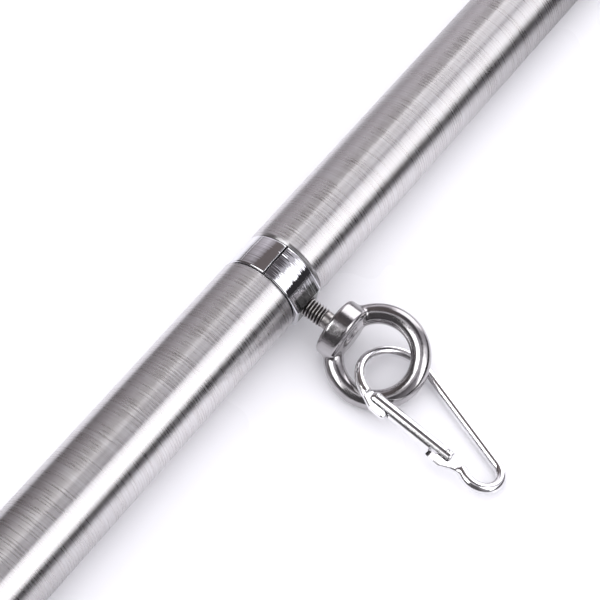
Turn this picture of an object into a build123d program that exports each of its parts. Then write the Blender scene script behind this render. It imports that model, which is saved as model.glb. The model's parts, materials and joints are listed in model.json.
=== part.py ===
"""Take-down spreader bar: two screwed tube halves, three swivel collars, eye bolts, snap hooks.

Frame: X runs along the bar, Z is up, and the origin is the middle of the bar on its axis.
The bar lies on a flat surface at Z = -BAR_RADIUS. Its eyes and snap hooks lie on the -Y side.
"""
from build123d import *
import math
import os

os.makedirs("parts", exist_ok=True)

# ---------------------------------------------------------------- driving dimensions (mm, degrees)
# Tubes and the joints between them
BAR_RADIUS = 12.5
TUBE_WALL = 1.5
TUBE_LENGTH = 280.0
STATION_GAP = 11.8
MOUTH_CHAMFER = 0.68
INSERT_RECESS = 2.3
INSERT_LENGTH = 22.0
THREAD_RADIUS = 6.0
THREAD_FIT = 0.05
SPOOL_RADIUS = 8.0
SPOOL_STUD = 18.0
SPOOL_LEAD = 1.0
CAP_LENGTH = 13.0
CAP_STUD = 8.0
CAP_FILLET = 1.5

# Swivel collar, made of two halves that the tube mouths hold together
COLLAR_RADIUS = 12.4
COLLAR_WIDTH = 11.2
COLLAR_FIT = 0.08
COLLAR_SPLIT = 0.5
COLLAR_FILLET = 0.5
LIP_RADIUS = 10.7
LIP_LENGTH = 2.0
BOSS_REACH = 13.1
BOSS_HALF_WIDTH = 3.4
BOSS_FACE_DEPTH = 1.0

# Eye bolt, M6 by 1. Distances are measured from the bar's axis along the stud.
STUD_RADIUS = 3.0
STUD_ROOT_RADIUS = 2.45
STUD_PITCH = 1.0
CREST_HALF_WIDTH = 0.08
STUD_TIP = 8.3
THREAD_END = 19.3
THREAD_RELIEF = 0.2
SHANK_RADIUS = 2.6
SHOULDER_START = 22.1
SHOULDER_END = 28.4
SHOULDER_RADIUS = 8.8
SHOULDER_FILLET = 1.1
NECK_END = 29.5
NECK_ROOT_SINK = 1.0
NECK_ROOT_SEMI_AXES = (7.6, 5.6)
NECK_END_SEMI_AXES = (5.0, 2.9)
EYE_DISTANCE = 37.7
EYE_RADIUS = 12.4
EYE_SECTION = 2.95

# Rest pose of the eye bolt: how far it droops, and how far it is turned in its thread
EYE_DROOP = 7.5
EYE_TURN = 20.0

# Snap hook, in its own plane: wide end at the origin, narrow end on +X, spine on +Y
WIRE_RADIUS = 1.6
WIDE_RADIUS = 10.6
NARROW_RADIUS = 5.5
HOOK_LENGTH = 36.2
HINGE_END_ANGLE = 265.0
NOSE_ANGLE = 106.0
NOSE_STRAIGHT = 2.6

# Gate, along its own axis from the hinge rivet: the hinge's place in the hook, and the gate's slant
HINGE_X = 2.0
HINGE_Y = -9.75
GATE_SLANT = 10.4
GATE_RADIUS = 2.1
GATE_LENGTH = 26.9
GATE_RIM_FILLET = 0.6
SLOT_WIDTH = 1.8
HINGE_SLOT_END = 5.9
NOSE_SLOT_START = 20.4
RIVET_RADIUS = 0.7
RIVET_FIT = 0.06
RIVET_HEAD = 0.15
CATCH_X = 25.0
CATCH_RADIUS = 0.6
PIN_FILLET = 0.25
BORE_RADIUS = 1.25
BORE_END = 16.0
PLUNGER_RADIUS = 1.1
PLUNGER_NOSE = 4.8
PLUNGER_END = 8.4
SPRING_RADIUS = 0.85
SPRING_WIRE = 0.2
SPRING_TURNS = 9
SPRING_SEAT = 0.25

# Flat ends of the hook's wire, in the gate's own frame. The tongue is the hull of circles given
# as (x, y, radius), and the head has a notch that takes the catch pin.
PLATE_THICKNESS = 1.3
TONGUE_CIRCLES = ((-3.5, -0.4, 1.4), (0.0, 0.0, 1.75), (4.1, -2.9, 1.5), (0.8, -2.9, 1.5))
NOTCH_HALF_WIDTH = 0.9
NOTCH_FLOOR = -0.9
HEAD_OUTLINE = (
    (31.6, 0.7),
    (27.4, 0.7),
    (CATCH_X + NOTCH_HALF_WIDTH, 0.1),
    (CATCH_X + NOTCH_HALF_WIDTH, NOTCH_FLOOR),
    (CATCH_X - NOTCH_HALF_WIDTH, NOTCH_FLOOR),
    (CATCH_X - NOTCH_HALF_WIDTH, 0.9),
    (22.8, 0.5),
    (22.8, -2.4),
    (20.6, -2.4),
    (20.6, -3.8),
    (23.6, -4.8),
    (25.6, -4.8),
    (28.6, -2.9),
    (31.6, -1.9),
)

# Rest pose of the snap hook, in the frame of the eye's ring
HOOK_OFFSET = (8.3, -2.3, -0.45)
HOOK_HEADING = -11.3
HOOK_RISE = -8.6
HOOK_ROLL = -34.8

# ---------------------------------------------------------------- derived places
TUBE_BORE = BAR_RADIUS - TUBE_WALL
END_STATION = STATION_GAP + TUBE_LENGTH
STATIONS = {"left": -END_STATION, "centre": 0.0, "right": END_STATION}
BARREL_LENGTH = STATION_GAP + 2 * INSERT_RECESS
COLLAR_BORE = SPOOL_RADIUS + COLLAR_FIT
WIRE_TAPER = math.degrees(math.asin((WIDE_RADIUS - NARROW_RADIUS) / HOOK_LENGTH))
SPINE_ANGLE = 90 - WIRE_TAPER


def across(x, facing=1):
    """Plane square to the bar at x, whose normal points along facing times X."""
    return Plane(origin=(x, 0, 0), x_dir=(0, 1, 0), z_dir=(facing, 0, 0))


def stud_direction():
    """Unit vector from the bar's axis out along the eye bolt's stud."""
    droop = math.radians(EYE_DROOP)
    return Vector(0, -math.cos(droop), -math.sin(droop))


def collar_plane(x, shift=0.0):
    """Plane square to the bar whose local X points along the stud."""
    return Plane(origin=(x + shift, 0, 0), x_dir=stud_direction(), z_dir=(1, 0, 0))


def stud_plane(x, distance=0.0):
    """Plane square to the stud, distance out from the bar's axis, with the eye bolt's turn."""
    stud = stud_direction()
    turned = Vector(1, 0, 0).rotate(Axis((0, 0, 0), stud), EYE_TURN)
    return Plane(origin=Vector(x, 0, 0) + stud * distance, x_dir=turned, z_dir=stud)


def ring_plane(x):
    """Plane of the eye: origin at its centre, local X along the stud, local Z its normal."""
    turned = stud_plane(x, EYE_DISTANCE)
    return Plane(origin=turned.origin, x_dir=turned.z_dir, z_dir=turned.z_dir.cross(turned.x_dir))


def hook_plane(x):
    """Plane of the snap hook where it lies through the eye."""
    place = ring_plane(x).location * Pos(*HOOK_OFFSET)
    place = place * Rot(0, 0, HOOK_HEADING) * Rot(0, HOOK_RISE, 0) * Rot(HOOK_ROLL, 0, 0)
    return Plane(place)


def gate_plane(x):
    """Plane of the snap hook with its origin on the hinge rivet and local X along the gate."""
    return Plane(hook_plane(x).location * Pos(HINGE_X, HINGE_Y, 0) * Rot(0, 0, GATE_SLANT))


def side_on(plane):
    """The plane through the given plane's origin whose normal is its local X."""
    return Plane(origin=plane.origin, x_dir=plane.y_dir, z_dir=plane.x_dir)


def save(part, name):
    part.label = name
    export_step(part, f"parts/{name}.step")


# ---------------------------------------------------------------- the bar
def build_tube(name, middle):
    """One half of the bar: a plain tube with chamfered mouths."""
    with BuildPart() as tube:
        with BuildSketch(across(middle - TUBE_LENGTH / 2)):
            Circle(BAR_RADIUS)
            Circle(TUBE_BORE, mode=Mode.SUBTRACT)
        extrude(amount=TUBE_LENGTH)
        rims = tube.edges().filter_by(GeomType.CIRCLE).filter_by(lambda e: e.radius > TUBE_BORE)
        chamfer(rims, length=MOUTH_CHAMFER)
    save(tube.part, name)


def build_insert(name, mouth, inward):
    """Threaded bush fixed inside a tube, set back from the tube's mouth."""
    with BuildPart() as insert:
        with BuildSketch(across(mouth + inward * INSERT_RECESS, inward)):
            Circle(TUBE_BORE)
            Circle(THREAD_RADIUS, mode=Mode.SUBTRACT)
        extrude(amount=INSERT_LENGTH)
    save(insert.part, name)


def build_spool(name, x, stud_left, stud_right):
    """Turned spool: a barrel that carries the collar, with a threaded stud at each end."""
    with BuildPart() as spool:
        with BuildSketch(across(x - BARREL_LENGTH / 2)):
            Circle(SPOOL_RADIUS)
        extrude(amount=BARREL_LENGTH)
        for facing, length in ((-1, stud_left), (1, stud_right)):
            with BuildSketch(across(x + facing * BARREL_LENGTH / 2, facing)):
                Circle(THREAD_RADIUS - THREAD_FIT)
            extrude(amount=length)
        chamfer(spool.faces().sort_by(Axis.X)[0].edges(), length=SPOOL_LEAD)
        chamfer(spool.faces().sort_by(Axis.X)[-1].edges(), length=SPOOL_LEAD)
    save(spool.part, name)


def build_end_cap(name, facing):
    """Cap that closes the bar's end and holds the end collar on its spool."""
    face = facing * (END_STATION + STATION_GAP / 2)
    with BuildPart() as cap:
        with BuildSketch(across(face, facing)):
            Circle(BAR_RADIUS)
        extrude(amount=CAP_LENGTH)
        outer = cap.faces().sort_by(Axis.X)[-1 if facing > 0 else 0]
        inner = cap.faces().sort_by(Axis.X)[0 if facing > 0 else -1]
        fillet(outer.edges(), radius=CAP_FILLET)
        chamfer(inner.edges(), length=MOUTH_CHAMFER)
        with BuildSketch(across(face, facing)):
            Circle(TUBE_BORE)
        extrude(amount=INSERT_RECESS, mode=Mode.SUBTRACT)
        with BuildSketch(across(face + facing * INSERT_RECESS, facing)):
            Circle(THREAD_RADIUS)
        extrude(amount=CAP_STUD + THREAD_FIT, mode=Mode.SUBTRACT)
    save(cap.part, name)


# ---------------------------------------------------------------- swivel collar
def build_collar_half(name, x, side):
    """Half of the collar. The half on side +1 has the boss that the eye bolt screws into."""
    half_width = COLLAR_WIDTH / 2
    lip_reach = half_width + LIP_LENGTH
    keep = side * (COLLAR_SPLIT / 2 + BAR_RADIUS)
    with BuildPart() as half:
        with BuildSketch(collar_plane(x, -half_width)):
            Circle(COLLAR_RADIUS)
            if side > 0:
                with Locations((BOSS_REACH - BOSS_FACE_DEPTH / 2, 0)):
                    Rectangle(BOSS_FACE_DEPTH, 2 * BOSS_HALF_WIDTH)
                make_hull()
        extrude(amount=COLLAR_WIDTH)
        rims = half.faces().filter_by(Axis.X).edges()
        fillet(rims, radius=COLLAR_FILLET)
        with BuildSketch(collar_plane(x, -lip_reach)):
            Circle(LIP_RADIUS)
        extrude(amount=2 * lip_reach)
        with BuildSketch(collar_plane(x, -lip_reach)):
            Circle(COLLAR_BORE)
        extrude(amount=2 * lip_reach, mode=Mode.SUBTRACT)
        with BuildSketch(collar_plane(x, -lip_reach)):
            with Locations((keep, 0)):
                Rectangle(2 * BAR_RADIUS, 4 * BAR_RADIUS)
        extrude(amount=2 * lip_reach, mode=Mode.INTERSECT)
        if side > 0:
            with BuildSketch(stud_plane(x)):
                Circle(STUD_RADIUS + COLLAR_FIT)
            extrude(amount=BOSS_REACH + STUD_RADIUS, mode=Mode.SUBTRACT)
    save(half.part, name)


# ---------------------------------------------------------------- eye bolt
def thread_outline():
    """Radius and distance of each point of the thread's profile, from the tip outwards."""
    points = [(0, STUD_TIP), (STUD_ROOT_RADIUS, STUD_TIP)]
    for turn in range(int((THREAD_END - STUD_TIP) / STUD_PITCH)):
        start = STUD_TIP + turn * STUD_PITCH
        points.append((STUD_RADIUS, start + (0.5 - CREST_HALF_WIDTH) * STUD_PITCH))
        points.append((STUD_RADIUS, start + (0.5 + CREST_HALF_WIDTH) * STUD_PITCH))
        points.append((STUD_ROOT_RADIUS, start + STUD_PITCH))
    return points


def build_eye_bolt(name, x):
    """Forged eye bolt: grooved stud, plain shank, round shoulder, neck and ring in one piece."""
    flat = Vector(1, 0, 0).cross(stud_direction())
    profile_plane = Plane(origin=(x, 0, 0), x_dir=(1, 0, 0), z_dir=flat)
    stud_axis = Axis((x, 0, 0), stud_direction())
    shank = [
        (SHANK_RADIUS, THREAD_END + THREAD_RELIEF),
        (SHANK_RADIUS, SHOULDER_START),
        (SHOULDER_RADIUS, SHOULDER_START),
        (SHOULDER_RADIUS, SHOULDER_END),
        (0, SHOULDER_END),
    ]
    with BuildPart() as eye_bolt:
        with BuildSketch(profile_plane):
            with BuildLine():
                Polyline(*thread_outline(), *shank, close=True)
            make_face()
        revolve(axis=stud_axis)
        rims = eye_bolt.edges().filter_by(GeomType.CIRCLE)
        fillet(rims.filter_by(lambda e: e.radius > SHANK_RADIUS + STUD_PITCH), radius=SHOULDER_FILLET)
        with BuildSketch(stud_plane(x, SHOULDER_END - NECK_ROOT_SINK)):
            Ellipse(*NECK_ROOT_SEMI_AXES)
        with BuildSketch(stud_plane(x, NECK_END)):
            Ellipse(*NECK_END_SEMI_AXES)
        loft()
        with Locations(ring_plane(x)):
            Torus(EYE_RADIUS, EYE_SECTION)
    save(eye_bolt.part, name)


# ---------------------------------------------------------------- snap hook
def polar(centre_x, radius, angle):
    """Point of a circle whose centre is on the hook's long axis."""
    turn = math.radians(angle)
    return (centre_x + radius * math.cos(turn), radius * math.sin(turn))


def build_hook_body(name, x):
    """Bent wire body with a flat tongue at the hinge and a flat notched head at the nose."""
    plane = hook_plane(x)
    hinge = gate_plane(x)
    wide_sweep = SPINE_ANGLE - HINGE_END_ANGLE
    narrow_sweep = -(SPINE_ANGLE + NOSE_ANGLE)
    nose_end = polar(HOOK_LENGTH, NARROW_RADIUS, -NOSE_ANGLE)
    nose_turn = math.radians(NOSE_ANGLE)
    nose_step = (-math.sin(nose_turn) * NOSE_STRAIGHT, -math.cos(nose_turn) * NOSE_STRAIGHT)
    with BuildPart() as body:
        with BuildLine(plane) as route:
            CenterArc((0, 0), WIDE_RADIUS, HINGE_END_ANGLE, wide_sweep)
            Line(polar(0, WIDE_RADIUS, SPINE_ANGLE), polar(HOOK_LENGTH, NARROW_RADIUS, SPINE_ANGLE))
            CenterArc((HOOK_LENGTH, 0), NARROW_RADIUS, SPINE_ANGLE, narrow_sweep)
            Line(nose_end, (nose_end[0] + nose_step[0], nose_end[1] + nose_step[1]))
        with BuildSketch(Plane(origin=route.line @ 0, z_dir=route.line % 0)):
            Circle(WIRE_RADIUS)
        sweep(path=route.line)
        with BuildSketch(hinge.offset(-PLATE_THICKNESS / 2)):
            for circle_x, circle_y, circle_radius in TONGUE_CIRCLES:
                with Locations((circle_x, circle_y)):
                    Circle(circle_radius)
            make_hull()
        extrude(amount=PLATE_THICKNESS)
        with BuildSketch(hinge.offset(-PLATE_THICKNESS / 2)):
            with BuildLine():
                Polyline(*HEAD_OUTLINE, close=True)
            make_face()
        extrude(amount=PLATE_THICKNESS)
        with BuildSketch(hinge.offset(-PLATE_THICKNESS)):
            Circle(RIVET_RADIUS + RIVET_FIT)
        extrude(amount=2 * PLATE_THICKNESS, mode=Mode.SUBTRACT)
    save(body.part, name)


def build_gate(name, x):
    """Round gate with a rounded hinge end, a slot at each end and a bore for its spring."""
    plane = gate_plane(x)
    along = side_on(plane)
    slots = ((-2 * GATE_RADIUS, HINGE_SLOT_END), (NOSE_SLOT_START, GATE_LENGTH + GATE_RADIUS))
    with BuildPart() as gate:
        with BuildSketch(along):
            Circle(GATE_RADIUS)
        extrude(amount=GATE_LENGTH)
        nose_rim = gate.edges().filter_by(GeomType.CIRCLE).sort_by(Axis(plane.origin, plane.x_dir))[-1]
        fillet(nose_rim, radius=GATE_RIM_FILLET)
        with Locations(plane):
            Sphere(GATE_RADIUS)
        with BuildSketch(along):
            Circle(BORE_RADIUS)
        extrude(amount=BORE_END, mode=Mode.SUBTRACT)
        for start, end in slots:
            with BuildSketch(plane.offset(-SLOT_WIDTH / 2)):
                with Locations(((start + end) / 2, 0)):
                    Rectangle(end - start, 4 * GATE_RADIUS)
            extrude(amount=SLOT_WIDTH, mode=Mode.SUBTRACT)
        for place, radius in ((0, RIVET_RADIUS), (CATCH_X, CATCH_RADIUS)):
            with BuildSketch(plane.offset(-2 * GATE_RADIUS)):
                with Locations((place, 0)):
                    Circle(radius)
            extrude(amount=4 * GATE_RADIUS, mode=Mode.SUBTRACT)
    save(gate.part, name)


def build_cross_pin(name, x, place, radius, half_length):
    """Pin across the gate with lightly domed ends."""
    plane = gate_plane(x)
    with BuildPart() as pin:
        with BuildSketch(plane.offset(-half_length)):
            with Locations((place, 0)):
                Circle(radius)
        extrude(amount=2 * half_length)
        rims = pin.edges().filter_by(GeomType.CIRCLE)
        fillet(rims, radius=PIN_FILLET)
    save(pin.part, name)


def build_plunger(name, x):
    """Round-nosed plunger that the spring pushes against the hinge tongue."""
    plane = gate_plane(x)
    with BuildPart() as plunger:
        with BuildSketch(side_on(plane).offset(PLUNGER_NOSE)):
            Circle(PLUNGER_RADIUS)
        extrude(amount=PLUNGER_END - PLUNGER_NOSE)
        with Locations(plane):
            with Locations((PLUNGER_NOSE, 0, 0)):
                Sphere(PLUNGER_RADIUS)
    save(plunger.part, name)


def build_spring(name, x):
    """Compression spring in the gate's bore, between the plunger and the end of the bore."""
    start = PLUNGER_END + SPRING_SEAT
    end = BORE_END - SPRING_SEAT
    plane = side_on(gate_plane(x)).offset(start)
    rise = end - start
    with BuildPart() as spring:
        with BuildLine() as coil:
            Helix(rise / SPRING_TURNS, rise, SPRING_RADIUS, center=plane.origin, direction=plane.z_dir)
        with BuildSketch(Plane(origin=coil.line @ 0, z_dir=coil.line % 0)):
            Circle(SPRING_WIRE)
        sweep(path=coil.line, is_frenet=True)
    save(spring.part, name)


# ---------------------------------------------------------------- the assembly
HALF_GAP = STATION_GAP / 2
for side_name, facing in (("left", -1), ("right", 1)):
    inner_mouth = facing * HALF_GAP
    outer_mouth = facing * (HALF_GAP + TUBE_LENGTH)
    build_tube(f"{side_name}_tube", (inner_mouth + outer_mouth) / 2)
    build_insert(f"{side_name}_inner_insert", inner_mouth, facing)
    build_insert(f"{side_name}_outer_insert", outer_mouth, -facing)
    build_end_cap(f"{side_name}_end_cap", facing)

build_spool("left_spool", STATIONS["left"], CAP_STUD, SPOOL_STUD)
build_spool("centre_spool", STATIONS["centre"], SPOOL_STUD, SPOOL_STUD)
build_spool("right_spool", STATIONS["right"], SPOOL_STUD, CAP_STUD)

for station, station_x in STATIONS.items():
    build_collar_half(f"{station}_collar_front", station_x, 1)
    build_collar_half(f"{station}_collar_back", station_x, -1)
    build_eye_bolt(f"{station}_eye_bolt", station_x)
    build_hook_body(f"{station}_hook_body", station_x)
    build_gate(f"{station}_hook_gate", station_x)
    build_cross_pin(f"{station}_hinge_rivet", station_x, 0, RIVET_RADIUS, GATE_RADIUS + RIVET_HEAD)
    build_cross_pin(f"{station}_catch_pin", station_x, CATCH_X, CATCH_RADIUS, GATE_RADIUS)
    build_plunger(f"{station}_gate_plunger", station_x)
    build_spring(f"{station}_gate_spring", station_x)
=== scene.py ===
"""Looks of the spreader bar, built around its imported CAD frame.

The tubes and end caps are turned meshes. The collars, eye bolts, snap hooks and gates are smooth
distance fields: the CAD node, or a plain stand-in, is remeshed evenly, and each point is then
moved onto the field's surface, so that edges are rounded and joints are filleted as forged and
plated metal is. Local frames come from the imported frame's joints, mounts and boxes. The sizes
below are the CAD's, with the fillets and soft edges that only the looks have.
"""
import json
import math
import bmesh
import bpy
import numpy as np
from mathutils import Matrix, Vector


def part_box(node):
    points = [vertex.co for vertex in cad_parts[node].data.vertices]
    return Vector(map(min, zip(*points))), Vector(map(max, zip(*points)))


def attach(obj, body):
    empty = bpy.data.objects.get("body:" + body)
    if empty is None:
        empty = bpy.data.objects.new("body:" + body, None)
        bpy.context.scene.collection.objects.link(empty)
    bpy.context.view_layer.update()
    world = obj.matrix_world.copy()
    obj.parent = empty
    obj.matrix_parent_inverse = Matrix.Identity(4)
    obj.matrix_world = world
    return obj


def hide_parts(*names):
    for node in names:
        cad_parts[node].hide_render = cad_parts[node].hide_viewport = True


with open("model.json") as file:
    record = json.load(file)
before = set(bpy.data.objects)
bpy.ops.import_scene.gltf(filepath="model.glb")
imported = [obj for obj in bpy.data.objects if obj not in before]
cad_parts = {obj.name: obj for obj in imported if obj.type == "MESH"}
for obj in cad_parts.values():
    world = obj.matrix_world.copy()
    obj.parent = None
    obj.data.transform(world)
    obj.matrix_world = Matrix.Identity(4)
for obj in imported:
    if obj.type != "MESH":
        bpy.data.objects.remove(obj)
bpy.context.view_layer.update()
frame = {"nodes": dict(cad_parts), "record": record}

MM = 0.001
STATIONS = ("left", "centre", "right")
JOINTS = {joint["name"]: joint for joint in frame["record"]["behaviour"]["joints"]}
MOUNTS = {mount["name"]: mount for mount in frame["record"]["mounts"]}

# ------------------------------------------------------------------ sizes, in millimetres
# The bar's tubes and end caps. _SIDES and _STEPS say how finely a shape is divided, here and below.
BAR_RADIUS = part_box("left_tube")[1].z / MM
TUBE_WALL = 1.5
MOUTH_CHAMFER = 0.68
MOUTH_DEPTH = 2.3
CAP_ROUND = 1.5
BAR_SIDES = 256
TUBE_STEPS = 40

# The collar. Its ends are COLLAR_CROWN lower than its middle, and each _EDGE softens a cut's edge.
COLLAR_RADIUS = 12.4
COLLAR_WIDTH = 11.2
COLLAR_BORE = 8.08
COLLAR_SPLIT = 0.5
COLLAR_ROUND = 0.5
COLLAR_CROWN = 0.12
COLLAR_BORE_EDGE = 0.1
COLLAR_SPLIT_EDGE = 0.15
LIP_RADIUS = 10.7
LIP_REACH = 7.6
LIP_ROUND = 0.2
BOSS_REACH = 13.1
BOSS_HALF_WIDTH = 3.4
STUD_HOLE = 3.08
STUD_HOLE_MOUTH = 0.4
STUD_HOLE_EDGE = 0.12
# Painted shade darkens the boss's colour from a small rise above the round, given below, but for a rim
# at each side of the collar
BOSS_SHADE_RISE = 0.04
BOSS_SHADE_RISE_FADE = 0.12
BOSS_SHADE_HALF_WIDTH = 4.6
BOSS_SHADE_WIDTH_FADE = 0.3

# The eye bolt's stud, with heights from the bar's axis. Half a pitch from a crest is a root, and
# CREST_FLAT and CREST_SLOPE shape the thread between them. TIP_CREST is the crest's share left at
# the tip, and SHANK_HEIGHT is the height on the thread that the plain shank is coloured as.
STUD_RADIUS = 3.0
STUD_ROOT = 2.36
STUD_PITCH = 1.0
STUD_TIP = 8.3
THREAD_END = 19.3
THREAD_RUN_IN = 1.0
THREAD_RUN_OUT = 0.8
TIP_CREST = 0.2
CREST_FLAT = 1.25
CREST_SLOPE = 3.4
STUD_SIDES = 72
STEPS_PER_MM = 12
SHANK_RADIUS = 2.6
SHANK_HEIGHT = 0.6

# The eye bolt's forging. The neck is an oval, wide across the bolt and less deep, that tapers from
# NECK_SINK below the shoulder's top. The _SEED_ values shape only what the even mesh starts from.
SHOULDER_START = 22.1
SHOULDER_END = 28.4
SHOULDER_RADIUS = 8.8
SHOULDER_ROUND = 1.15
SHOULDER_FILLET = 1.1
NECK_SINK = 1
NECK_END = 29.5
NECK_EDGE = 0.5
NECK_WIDE = 7.6
NECK_WIDE_TAPER = 2.5
NECK_DEEP = 5.6
NECK_DEEP_TAPER = 2.6
EYE_DISTANCE = 37.7
EYE_RADIUS = 12.4
EYE_SECTION = 2.95
EYE_FILLET = 0.7
NECK_SEED_RADIUS = 4.6
SHOULDER_SEED_SIDES = 96
EYE_SEED_RINGS = 128
EYE_SEED_SIDES = 32

# The snap hook's wire, in the hook's own frame: the wide bend's centre is at 0, and the narrow
# bend's is HOOK_LENGTH along +X. WIRE_END_ZONE is how near an end the wire is cut square.
WIRE_RADIUS = 1.6
WIRE_END_ZONE = 4
WIRE_END_ROUND = 0.5
WIDE_RADIUS = 10.6
NARROW_RADIUS = 5.5
HOOK_LENGTH = 36.2
HINGE_END_ANGLE = 265.0
NOSE_ANGLE = 106.0
NOSE_STRAIGHT = 2.6
HINGE_AT = (2.0, -9.75)
GATE_SLANT = 10.4

# The gate, its pins and its bore, along X from the hinge
GATE_RADIUS = 2.1
GATE_LENGTH = 26.9
GATE_NOSE_ROUND = 0.6
GATE_CUT_EDGE = 0.16
SLOT_HALF = 0.9
HINGE_SLOT_END = 5.9
NOSE_SLOT_START = 20.4
CATCH_X = 25.0
PIN_CLEARANCE = 0.06
PIN_HOLE_EDGE = 0.1
PIN_DOME = 0.25
PIN_DOME_POINTS = 6
PIN_SIDES = 48
PIN_EDGE_ANGLE = 60
RIVET_RADIUS = 0.7
RIVET_PROUD = 0.15
CATCH_RADIUS = 0.6
BORE_RADIUS = 1.25
BORE_END = 16.0
BORE_OVERLAP = 1

# The hook's flat ends, in the gate's frame: the tongue is drawn round circles (x, y, radius), and
# the head is an outline with a notch for the catch pin and a bevel on the side to the hinge
TONGUE_CIRCLES = [(-3.5, -0.4, 1.4), (0, 0, 1.75), (4.4, -3.1, 1.15), (0.8, -2.9, 1.25)]
NOTCH_HALF = 0.9
NOSE_HEAD = [
    (31.6, 0.7), (27.4, 0.7), (CATCH_X + NOTCH_HALF, 0.1), (CATCH_X + NOTCH_HALF, -0.9),
    (CATCH_X - NOTCH_HALF, -0.9), (CATCH_X - NOTCH_HALF, 0.9), (22.8, 0.5), (22.8, -2.4),
    (20.6, -2.4), (20.6, -3.8), (23.6, -4.8), (25.6, -4.8), (28.6, -2.9), (31.6, -1.9),
]
PLATE_HALF = 0.65
PLATE_ROUND = 0.42
PLATE_FILLET = 0.7
HEAD_BEVEL_START = 21.9
HEAD_BEVEL_SLOPE = 0.7
HEAD_BEVEL_EDGE = 0.1
# The bevel is coloured near black as painted shade, and these say where it lies on the head
BEVEL_MIDDLE = (HEAD_BEVEL_START - 0.9, -3.6)
BEVEL_HALF = (1, 1.6)
BEVEL_SHADE_END = HEAD_BEVEL_START - 0.1
BEVEL_SHADE_FADE = 0.2

# The even meshes: the length of a square's edge for each kind of piece, how often points are
# averaged with their neighbours, and the step over which the finished surface's slope is taken
COLLAR_VOXEL = 0.26
EYE_VOXEL = 0.3
HOOK_VOXEL = 0.22
GATE_VOXEL = 0.18
EVEN_ROUNDS = 3
NORMAL_STEP = 0.004


# ------------------------------------------------------------------ local frames
def unit(vector):
    vector = np.array(vector, float)
    return vector / np.linalg.norm(vector)


class Place:
    """A local frame: millimetres along three axes from an origin, and metres in the row frame."""

    def __init__(self, origin, x_axis, z_axis):
        x_axis = unit(x_axis)
        z_axis = unit(z_axis)
        self.origin = np.array(origin, float)
        self.axes = np.stack([x_axis, np.cross(z_axis, x_axis), z_axis])

    def out(self, points):
        return self.origin + np.asarray(points, float) * MM @ self.axes

    def into(self, points):
        return (np.asarray(points, float) - self.origin) @ self.axes.T / MM

    def turn(self, vectors):
        return np.asarray(vectors, float) @ self.axes


def collar_place(station):
    """Origin on the bar's axis, local X along the stud, local Z along the bar."""
    x = JOINTS[f"{station}_collar_turn"]["pos_m"][0]
    return Place((x, 0, 0), JOINTS[f"{station}_eye_turn"]["axis"], (1, 0, 0))


def eye_place(station):
    """Origin on the bar's axis, local Z along the stud, local Y the ring's normal."""
    x = JOINTS[f"{station}_collar_turn"]["pos_m"][0]
    stud = unit(JOINTS[f"{station}_eye_turn"]["axis"])
    normal = unit(JOINTS[f"{station}_hook_slide_round"]["axis"])
    return Place((x, 0, 0), np.cross(normal, stud), stud)


def gate_place(station):
    """Origin on the hinge rivet, local X along the gate, local Z across the snap hook.

    The frame gives the hinge and the bearing, which is inside the narrow bend, on the hook's own X
    axis. The gate lies at a known angle to the line from one to the other.
    """
    hinge = np.array(JOINTS[f"{station}_gate_open"]["pos_m"])
    normal = unit(JOINTS[f"{station}_gate_open"]["axis"])
    bearing = np.array(MOUNTS[f"{station}_hook_bearing"]["pos_m"])
    across = HOOK_LENGTH + NARROW_RADIUS - WIRE_RADIUS - HINGE_AT[0]
    angle = -math.atan2(-HINGE_AT[1], across) + math.radians(GATE_SLANT)
    toward = unit(bearing - hinge)
    sideways = np.cross(normal, toward)
    return Place(hinge, toward * math.cos(angle) + sideways * math.sin(angle), normal)


def gate_to_hook(points):
    """From the gate's frame to the snap hook's own frame: wide end at 0, narrow end on +X."""
    slant = math.radians(GATE_SLANT)
    x = points[:, 0] * math.cos(slant) - points[:, 1] * math.sin(slant) + HINGE_AT[0]
    y = points[:, 0] * math.sin(slant) + points[:, 1] * math.cos(slant) + HINGE_AT[1]
    return np.stack([x, y, points[:, 2]], 1)


# ------------------------------------------------------------------ distance fields (mm)
def smooth_min(a, b, blend):
    """Union of two fields, with a fillet of about blend between them."""
    h = np.clip(0.5 + 0.5 * (b - a) / blend, 0, 1)
    return b + (a - b) * h - blend * h * (1 - h)


def smooth_max(a, b, blend):
    """Intersection of two fields, with a soft edge of about blend between them."""
    return -smooth_min(-a, -b, blend)


def rounded_pair(a, b, radius):
    """Intersection of two fields, with the edge between them rounded."""
    a = a + radius
    b = b + radius
    outside = np.sqrt(np.maximum(a, 0) ** 2 + np.maximum(b, 0) ** 2)
    return outside + np.minimum(np.maximum(a, b), 0) - radius


def polygon_distance(x, y, corners):
    """Signed distance to a polygon in the plane."""
    corners = np.asarray(corners, float)
    nearest = np.full(x.shape, 1e9)
    inside = np.zeros(x.shape, bool)
    for (ax, ay), (bx, by) in zip(corners, np.roll(corners, -1, 0)):
        ex, ey = bx - ax, by - ay
        t = np.clip(((x - ax) * ex + (y - ay) * ey) / (ex * ex + ey * ey), 0, 1)
        nearest = np.minimum(nearest, (x - ax - t * ex) ** 2 + (y - ay - t * ey) ** 2)
        if ay != by:
            crossing = (ay > y) != (by > y)
            inside ^= crossing & (x < ax + (y - ay) * ex / ey)
    return np.where(inside, -1, 1) * np.sqrt(nearest)


def hull_of_circles(circles, count=20):
    """Convex outline round circles given as (x, y, radius)."""
    turns = np.linspace(0, 2 * math.pi, count, endpoint=False)
    points = sorted((x + r * math.cos(t), y + r * math.sin(t)) for x, y, r in circles for t in turns)
    outline = []
    for run in (points, points[::-1]):
        chain = []
        for p in run:
            while len(chain) > 1 and turns_right(chain[-2], chain[-1], p):
                chain.pop()
            chain.append(p)
        outline += chain[:-1]
    return outline


def turns_right(a, b, c):
    return (b[0] - a[0]) * (c[1] - a[1]) - (b[1] - a[1]) * (c[0] - a[0]) <= 0


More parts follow.
